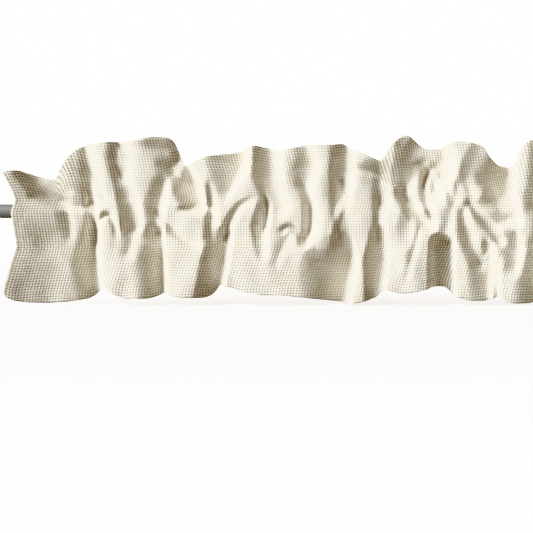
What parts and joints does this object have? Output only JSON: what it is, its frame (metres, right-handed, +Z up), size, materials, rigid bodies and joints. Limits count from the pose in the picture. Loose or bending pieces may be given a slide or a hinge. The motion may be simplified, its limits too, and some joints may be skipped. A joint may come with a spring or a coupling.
{
  "type": "ruffled window valance on a curtain rod",
  "caption": "Ruffled rod-pocket window valance in a cream basket weave, gathered in uneven folds on a plain grey round rod.",
  "frame": {"origin": "on the rod's axis, midway between its ends", "axes": "+X along the rod to the viewer's right, +Y from the viewer towards the wall, +Z up"},
  "size_m": [1.07, 0.0761, 0.2805],
  "materials": {
    "valance_cloth": "matte cream basket weave with taupe gaps between the yarns",
    "curtain_rod": "satin grey"
  },
  "bodies": {
    "root": {"valance_cloth": "valance_cloth", "curtain_rod": "curtain_rod"}
  },
  "joints": []
}
